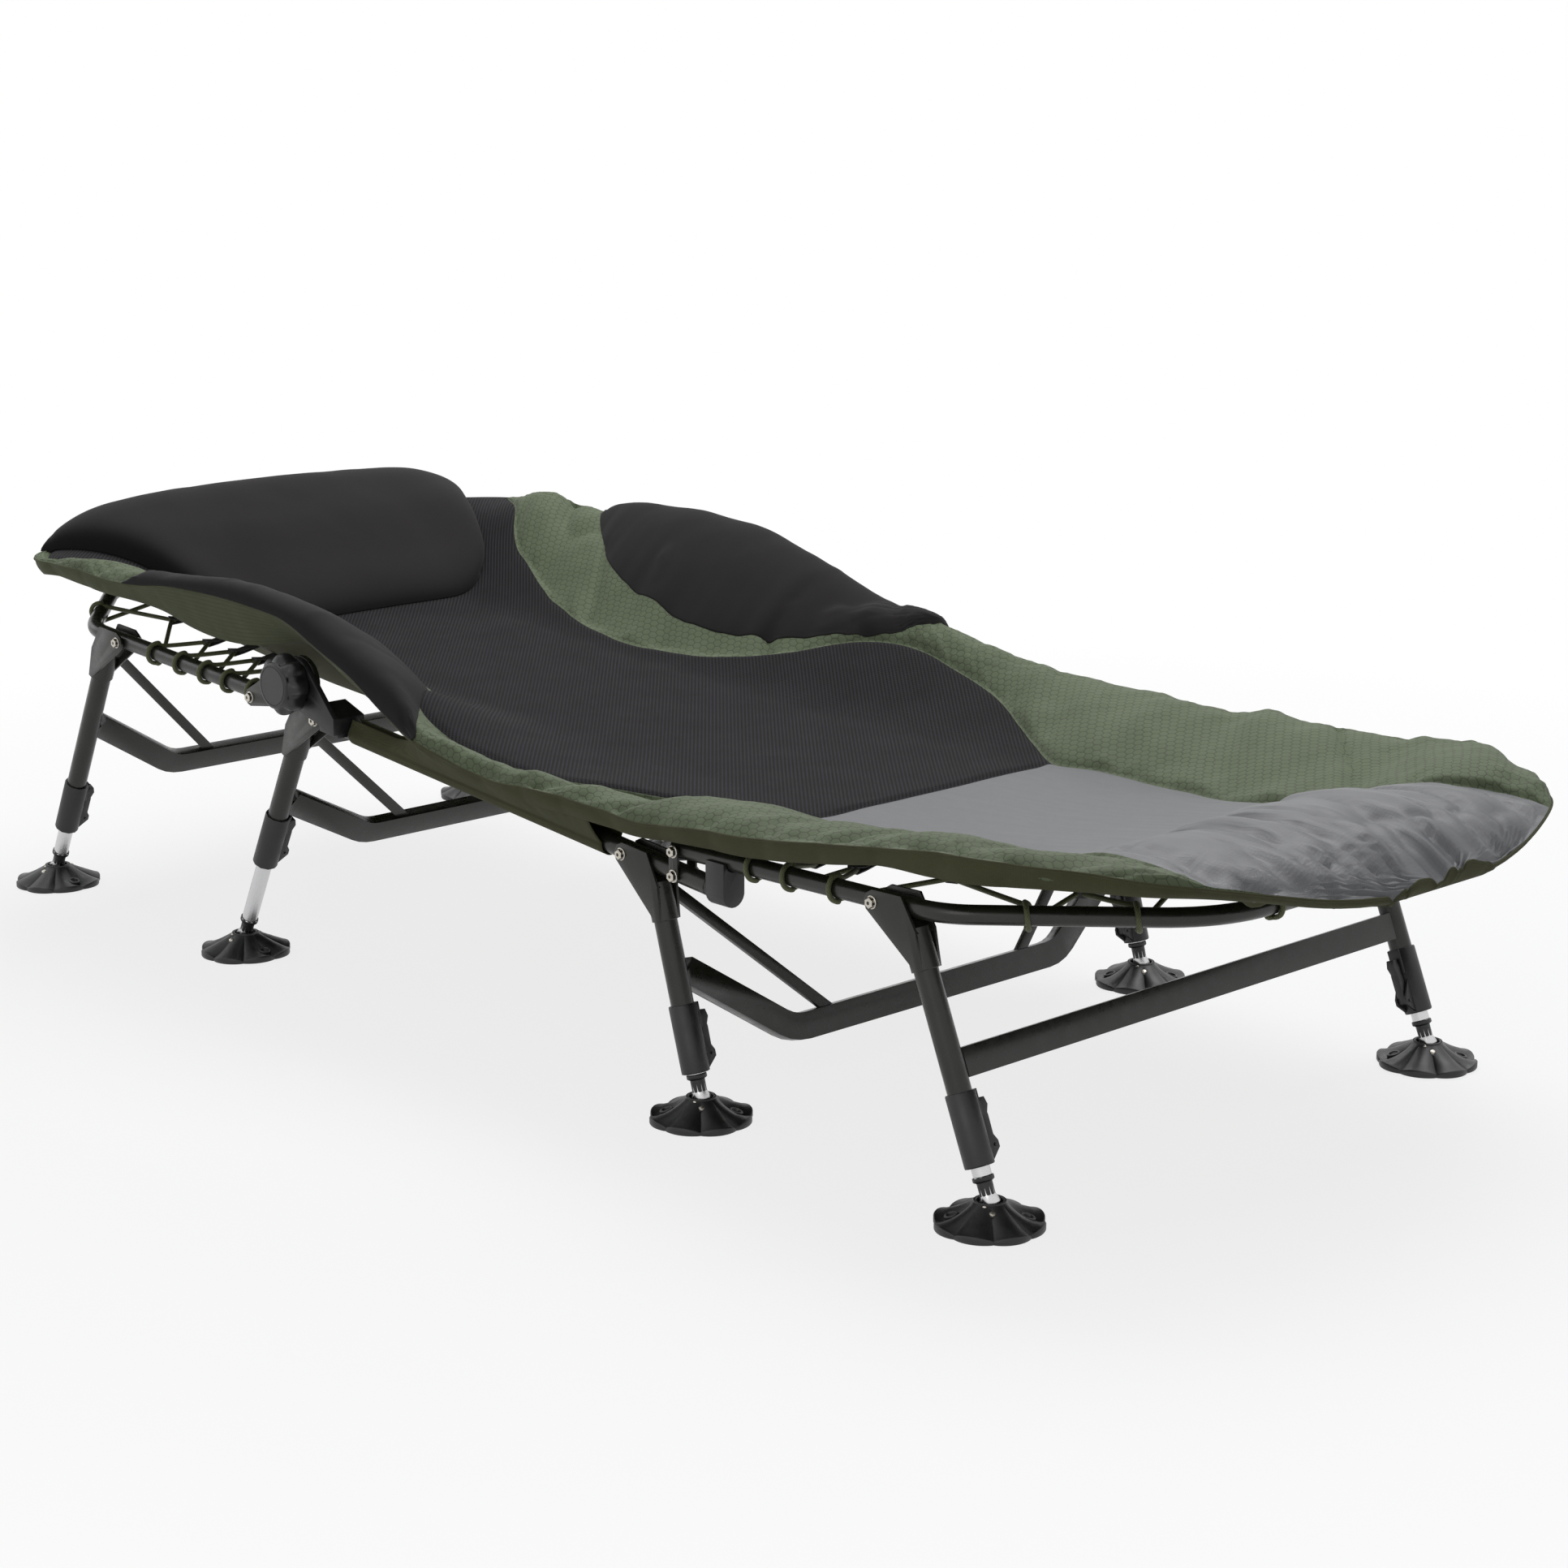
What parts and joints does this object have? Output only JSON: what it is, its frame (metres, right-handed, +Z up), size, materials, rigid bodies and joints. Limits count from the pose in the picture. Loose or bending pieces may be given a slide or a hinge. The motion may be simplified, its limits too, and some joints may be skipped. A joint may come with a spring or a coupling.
{
  "type": "fishing bedchair",
  "caption": "Folding camp bedchair with a laced padded mattress, pillow and side bolsters on hinged tube sections with telescopic legs and swivelling mud feet.",
  "frame": {"origin": "on the floor, under the middle of the bed's box", "axes": "+X from the head to the foot, +Y to the sleeper's left, +Z up"},
  "size_m": [2.0398, 0.8482, 0.5174],
  "materials": {
    "frame_paint": "dark green gloss paint",
    "black_plastic": "moulded, slightly satin",
    "bare_metal": "satin anodised",
    "green_cloth": "honeycomb ripstop border and black ribbed air mesh",
    "grey_cloth": "grey ripstop with a soft sheen",
    "black_cloth": "smooth stretch cloth",
    "cord": "olive elastic cord",
    "sleeve_cloth": "woven sleeve"
  },
  "bodies": {
    "seat_section": {"seat_rail_right": "frame_paint", "seat_rail_left": "frame_paint", "rail_sleeve_right": "sleeve_cloth", "rail_sleeve_left": "sleeve_cloth", "foot_hinge_plate_right": "frame_paint", "foot_hinge_plate_left": "frame_paint", "foot_rail_saddle_right": "black_plastic", "foot_rail_saddle_left": "black_plastic", "recliner_hub_right": "black_plastic", "recliner_hub_left": "black_plastic", "mattress_seat": "green_cloth"},
    "back_section": {"back_frame": "frame_paint", "recliner_plate_right": "frame_paint", "recliner_plate_left": "frame_paint", "mattress_back": "green_cloth", "pillow": "black_cloth", "side_bolster_right": "black_cloth", "side_bolster_left": "black_cloth", "back_lacing": "cord"},
    "foot_section": {"foot_frame": "frame_paint", "mattress_foot": "grey_cloth", "foot_lacing": "cord"},
    "leg_pair_2": {"leg_frame_2": "frame_paint", "leg_clamp_2_right": "black_plastic", "leg_clamp_2_left": "black_plastic"},
    "leg_pair_1": {"leg_frame_1": "frame_paint", "leg_clamp_1_right": "black_plastic", "leg_clamp_1_left": "black_plastic"},
    "leg_pair_3": {"leg_frame_3": "frame_paint", "leg_clamp_3_right": "black_plastic", "leg_clamp_3_left": "black_plastic"},
    "leg_pair_4": {"leg_frame_4": "frame_paint", "leg_clamp_4_right": "black_plastic", "leg_clamp_4_left": "black_plastic"},
    "inner_leg_1_right": {"inner_leg_1_right": "bare_metal"},
    "mud_foot_1_right": {"mud_foot_1_right": "black_plastic"},
    "clamp_lever_1_right": {"clamp_lever_1_right": "black_plastic"},
    "inner_leg_1_left": {"inner_leg_1_left": "bare_metal"},
    "mud_foot_1_left": {"mud_foot_1_left": "black_plastic"},
    "clamp_lever_1_left": {"clamp_lever_1_left": "black_plastic"},
    "inner_leg_2_right": {"inner_leg_2_right": "bare_metal"},
    "mud_foot_2_right": {"mud_foot_2_right": "black_plastic"},
    "clamp_lever_2_right": {"clamp_lever_2_right": "black_plastic"},
    "inner_leg_2_left": {"inner_leg_2_left": "bare_metal"},
    "mud_foot_2_left": {"mud_foot_2_left": "black_plastic"},
    "clamp_lever_2_left": {"clamp_lever_2_left": "black_plastic"},
    "inner_leg_3_right": {"inner_leg_3_right": "bare_metal"},
    "mud_foot_3_right": {"mud_foot_3_right": "black_plastic"},
    "clamp_lever_3_right": {"clamp_lever_3_right": "black_plastic"},
    "inner_leg_3_left": {"inner_leg_3_left": "bare_metal"},
    "mud_foot_3_left": {"mud_foot_3_left": "black_plastic"},
    "clamp_lever_3_left": {"clamp_lever_3_left": "black_plastic"},
    "inner_leg_4_right": {"inner_leg_4_right": "bare_metal"},
    "mud_foot_4_right": {"mud_foot_4_right": "black_plastic"},
    "clamp_lever_4_right": {"clamp_lever_4_right": "black_plastic"},
    "inner_leg_4_left": {"inner_leg_4_left": "bare_metal"},
    "mud_foot_4_left": {"mud_foot_4_left": "black_plastic"},
    "clamp_lever_4_left": {"clamp_lever_4_left": "black_plastic"},
    "recline_knob_right": {"recline_knob_right": "black_plastic"},
    "recline_knob_left": {"recline_knob_left": "black_plastic"}
  },
  "joints": [
    {"name": "recline", "type": "hinge", "parent": "seat_section", "child": "back_section", "pos_m": [-0.341, 0, 0.37799], "axis": [0, -1, 0], "range_deg": [-165, 0], "deforming": ["side_bolster_right", "side_bolster_left"]},
    {"name": "foot_section_fold", "type": "hinge", "parent": "seat_section", "child": "foot_section", "pos_m": [0.315, 0, 0.29398], "axis": [0, -1, 0], "range_deg": [0, 110]},
    {"name": "leg_pair_2_fold", "type": "hinge", "parent": "seat_section", "child": "leg_pair_2", "pos_m": [-0.328, 0, 0.331], "axis": [0, -1, 0], "range_deg": [0, 100]},
    {"name": "leg_pair_1_fold", "type": "hinge", "parent": "back_section", "child": "leg_pair_1", "pos_m": [-0.762, 0, 0.36299], "axis": [0, -1, 0], "range_deg": [0, 100]},
    {"name": "leg_pair_3_fold", "type": "hinge", "parent": "seat_section", "child": "leg_pair_3", "pos_m": [0.232, 0, 0.2755], "axis": [0, 1, 0], "range_deg": [0, 90]},
    {"name": "leg_pair_4_fold", "type": "hinge", "parent": "foot_section", "child": "leg_pair_4", "pos_m": [0.612, 0, 0.29998], "axis": [0, 1, 0], "range_deg": [0, 90]},
    {"name": "inner_leg_1_right_slide", "type": "slide", "parent": "leg_pair_1", "child": "inner_leg_1_right", "axis": [0.4368, 0, 0.8996], "range_m": [-0.0796, 0.0393]},
    {"name": "mud_foot_1_right_tilt", "type": "hinge", "parent": "inner_leg_1_right", "child": "mud_foot_1_right", "pos_m": [-0.9644, -0.36, 0.024], "axis": [0, 1, 0], "range_deg": [-8.1, 59.9]},
    {"name": "clamp_lever_1_right_turn", "type": "hinge", "parent": "leg_pair_1", "child": "clamp_lever_1_right", "pos_m": [-0.92821, -0.3397, 0.09853], "axis": [-0.8996, 0, 0.4368], "range_deg": [0, 100]},
    {"name": "inner_leg_1_left_slide", "type": "slide", "parent": "leg_pair_1", "child": "inner_leg_1_left", "axis": [0.4368, 0, 0.8996], "range_m": [-0.0796, 0.0393]},
    {"name": "mud_foot_1_left_tilt", "type": "hinge", "parent": "inner_leg_1_left", "child": "mud_foot_1_left", "pos_m": [-0.9644, 0.36, 0.024], "axis": [0, 1, 0], "range_deg": [-8.1, 59.9]},
    {"name": "clamp_lever_1_left_turn", "type": "hinge", "parent": "leg_pair_1", "child": "clamp_lever_1_left", "pos_m": [-0.92821, 0.3397, 0.09853], "axis": [0.8996, 0, -0.4368], "range_deg": [0, 100]},
    {"name": "inner_leg_2_right_slide", "type": "slide", "parent": "leg_pair_2", "child": "inner_leg_2_right", "axis": [0.4399, 0, 0.898], "range_m": [-0.032, 0.087]},
    {"name": "mud_foot_2_right_tilt", "type": "hinge", "parent": "inner_leg_2_right", "child": "mud_foot_2_right", "pos_m": [-0.51626, -0.36, 0.024], "axis": [0, 1, 0], "range_deg": [-7.9, 60.1]},
    {"name": "clamp_lever_2_right_turn", "type": "hinge", "parent": "leg_pair_2", "child": "clamp_lever_2_right", "pos_m": [-0.45884, -0.3397, 0.14121], "axis": [-0.898, 0, 0.4399], "range_deg": [0, 100]},
    {"name": "inner_leg_2_left_slide", "type": "slide", "parent": "leg_pair_2", "child": "inner_leg_2_left", "axis": [0.4399, 0, 0.898], "range_m": [-0.032, 0.087]},
    {"name": "mud_foot_2_left_tilt", "type": "hinge", "parent": "inner_leg_2_left", "child": "mud_foot_2_left", "pos_m": [-0.51626, 0.36, 0.024], "axis": [0, 1, 0], "range_deg": [-7.9, 60.1]},
    {"name": "clamp_lever_2_left_turn", "type": "hinge", "parent": "leg_pair_2", "child": "clamp_lever_2_left", "pos_m": [-0.45884, 0.3397, 0.14121], "axis": [0.898, 0, -0.4399], "range_deg": [0, 100]},
    {"name": "inner_leg_3_right_slide", "type": "slide", "parent": "leg_pair_3", "child": "inner_leg_3_right", "axis": [-0.2823, 0, 0.9593], "range_m": [-0.1183, 0.0007]},
    {"name": "mud_foot_3_right_tilt", "type": "hinge", "parent": "inner_leg_3_right", "child": "mud_foot_3_right", "pos_m": [0.34146, -0.36, 0.024], "axis": [0, -1, 0], "range_deg": [-17.6, 50.4]},
    {"name": "clamp_lever_3_right_turn", "type": "hinge", "parent": "leg_pair_3", "child": "clamp_lever_3_right", "pos_m": [0.32899, -0.3397, 0.06638], "axis": [-0.9593, 0, -0.2823], "range_deg": [0, 100]},
    {"name": "inner_leg_3_left_slide", "type": "slide", "parent": "leg_pair_3", "child": "inner_leg_3_left", "axis": [-0.2823, 0, 0.9593], "range_m": [-0.1183, 0.0007]},
    {"name": "mud_foot_3_left_tilt", "type": "hinge", "parent": "inner_leg_3_left", "child": "mud_foot_3_left", "pos_m": [0.34146, 0.36, 0.024], "axis": [0, -1, 0], "range_deg": [-17.6, 50.4]},
    {"name": "clamp_lever_3_left_turn", "type": "hinge", "parent": "leg_pair_3", "child": "clamp_lever_3_left", "pos_m": [0.32899, 0.3397, 0.06638], "axis": [0.9593, 0, 0.2823], "range_deg": [0, 100]},
    {"name": "inner_leg_4_right_slide", "type": "slide", "parent": "leg_pair_4", "child": "inner_leg_4_right", "axis": [-0.3827, 0, 0.9239], "range_m": [-0.11, 0.009]},
    {"name": "mud_foot_4_right_tilt", "type": "hinge", "parent": "inner_leg_4_right", "child": "mud_foot_4_right", "pos_m": [0.76312, -0.36, 0.024], "axis": [0, -1, 0], "range_deg": [-11.5, 56.5]},
    {"name": "clamp_lever_4_right_turn", "type": "hinge", "parent": "leg_pair_4", "child": "clamp_lever_4_right", "pos_m": [0.74302, -0.3397, 0.0725], "axis": [-0.9239, 0, -0.3827], "range_deg": [0, 100]},
    {"name": "inner_leg_4_left_slide", "type": "slide", "parent": "leg_pair_4", "child": "inner_leg_4_left", "axis": [-0.3827, 0, 0.9239], "range_m": [-0.11, 0.009]},
    {"name": "mud_foot_4_left_tilt", "type": "hinge", "parent": "inner_leg_4_left", "child": "mud_foot_4_left", "pos_m": [0.76312, 0.36, 0.024], "axis": [0, -1, 0], "range_deg": [-11.5, 56.5]},
    {"name": "clamp_lever_4_left_turn", "type": "hinge", "parent": "leg_pair_4", "child": "clamp_lever_4_left", "pos_m": [0.74302, 0.3397, 0.0725], "axis": [0.9239, 0, 0.3827], "range_deg": [0, 100]},
    {"name": "recline_knob_right_turn", "type": "hinge", "parent": "seat_section", "child": "recline_knob_right", "pos_m": [-0.341, -0.3921, 0.37799], "axis": [0, -1, 0], "range_deg": [0, 360]},
    {"name": "recline_knob_left_turn", "type": "hinge", "parent": "seat_section", "child": "recline_knob_left", "pos_m": [-0.341, 0.3921, 0.37799], "axis": [0, 1, 0], "range_deg": [0, 360]}
  ],
  "couplings": [
    {"joint": "leg_pair_1_fold", "follows": "leg_pair_2_fold", "ratio": 1},
    {"joint": "leg_pair_4_fold", "follows": "leg_pair_3_fold", "ratio": 1}
  ]
}
